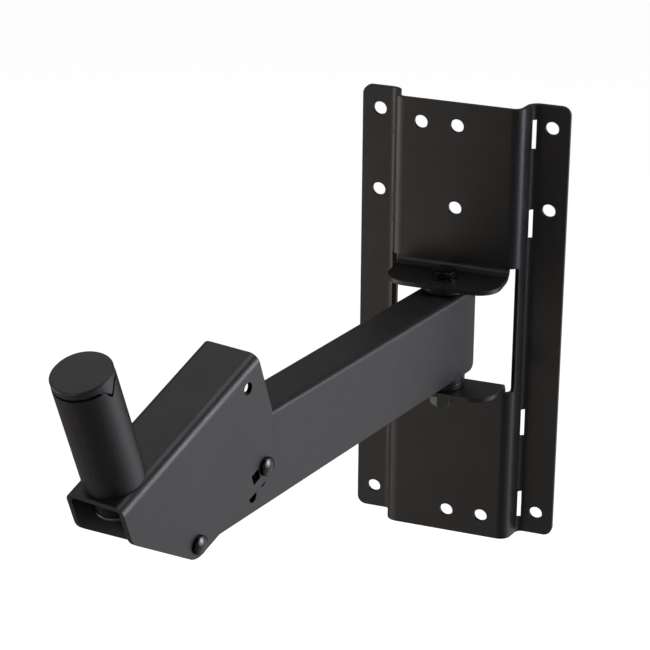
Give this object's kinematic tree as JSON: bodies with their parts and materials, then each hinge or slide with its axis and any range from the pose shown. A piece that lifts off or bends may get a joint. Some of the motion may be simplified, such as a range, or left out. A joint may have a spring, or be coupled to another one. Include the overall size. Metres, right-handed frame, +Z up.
{
  "type": "speaker wall bracket",
  "caption": "Wall bracket with a folded plate, a swivelling box arm and a tilting head that carries a standard speaker pole with a plug-in cap.",
  "frame": {"origin": "centre of the four corner screw holes, on the wall plane behind the plate", "axes": "+Z up, +Y into the wall, +X to the right of someone facing the wall"},
  "size_m": [0.1683, 0.4115, 0.3],
  "materials": {
    "powder_coat": "satin",
    "black_fastener": "gloss",
    "bare_steel": "satin",
    "nylon": "matt",
    "cap_plastic": "satin"
  },
  "bodies": {
    "wall_body": {"wall_plate": "powder_coat", "swivel_bolt": "black_fastener", "upper_spacer_ring": "nylon", "lower_spacer_ring": "nylon", "middle_spacer_ring": "nylon", "swivel_washer": "black_fastener", "swivel_nut": "black_fastener"},
    "arm_body": {"arm": "powder_coat", "arm_bottom_plate": "powder_coat", "swivel_sleeve": "bare_steel", "tilt_spacer": "bare_steel"},
    "head_body": {"head_bracket": "powder_coat", "pole_tube": "powder_coat", "pole_spigot": "powder_coat", "pole_cap": "cap_plastic", "tilt_bolt": "black_fastener", "tilt_washer": "black_fastener", "tilt_nut": "black_fastener", "tilt_friction_washer_right": "nylon", "tilt_friction_washer_left": "nylon", "lock_bolt": "black_fastener", "lock_washer": "black_fastener", "lock_nut": "black_fastener", "lock_friction_washer_right": "nylon", "lock_friction_washer_left": "nylon"}
  },
  "joints": [
    {"name": "swivel", "type": "hinge", "parent": "wall_body", "child": "arm_body", "pos_m": [0, -0.0359, 0], "axis": [0, 0, 1], "range_deg": [-77, 102]},
    {"name": "tilt", "type": "hinge", "parent": "arm_body", "child": "head_body", "pos_m": [-0.06555, -0.32301, -0.0204], "axis": [0.9749, -0.2226, 0], "range_deg": [-10, 14]}
  ]
}
